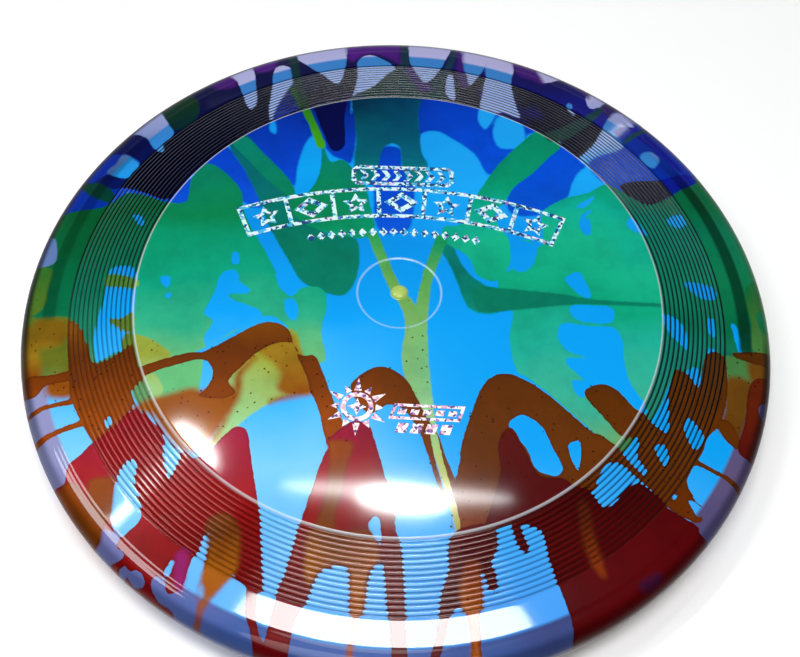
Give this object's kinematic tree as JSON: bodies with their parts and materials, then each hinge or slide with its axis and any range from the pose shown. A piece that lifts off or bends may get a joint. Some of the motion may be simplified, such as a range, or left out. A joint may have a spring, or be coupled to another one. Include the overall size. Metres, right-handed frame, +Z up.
{
  "type": "flying disc",
  "caption": "Round translucent flying disc with a flat flight plate, ridged shoulder, rounded drop rim and foil-stamped figures.",
  "frame": {"origin": "centre of the disc's axis at the plane the rim rests on", "axes": "+Z up along the disc's axis through the flight plate, +Y towards the arched foil banner, +X to its right"},
  "size_m": [0.235, 0.235, 0.0279],
  "materials": {
    "disc_plastic": "gloss, translucent, with multicolour dye",
    "stamp_foil": "holographic glitter foil, hot stamped"
  },
  "bodies": {
    "root": {"disc_body": "disc_plastic", "foil_banner_frame": "stamp_foil", "foil_banner_stars": "stamp_foil", "foil_banner_diamonds": "stamp_foil", "foil_dot_row": "stamp_foil", "foil_plaque_frame": "stamp_foil", "foil_plaque_chevrons": "stamp_foil", "foil_sunburst_ring": "stamp_foil", "foil_sunburst_rays": "stamp_foil", "foil_bar_frame": "stamp_foil", "foil_bar_blocks": "stamp_foil"}
  },
  "joints": []
}
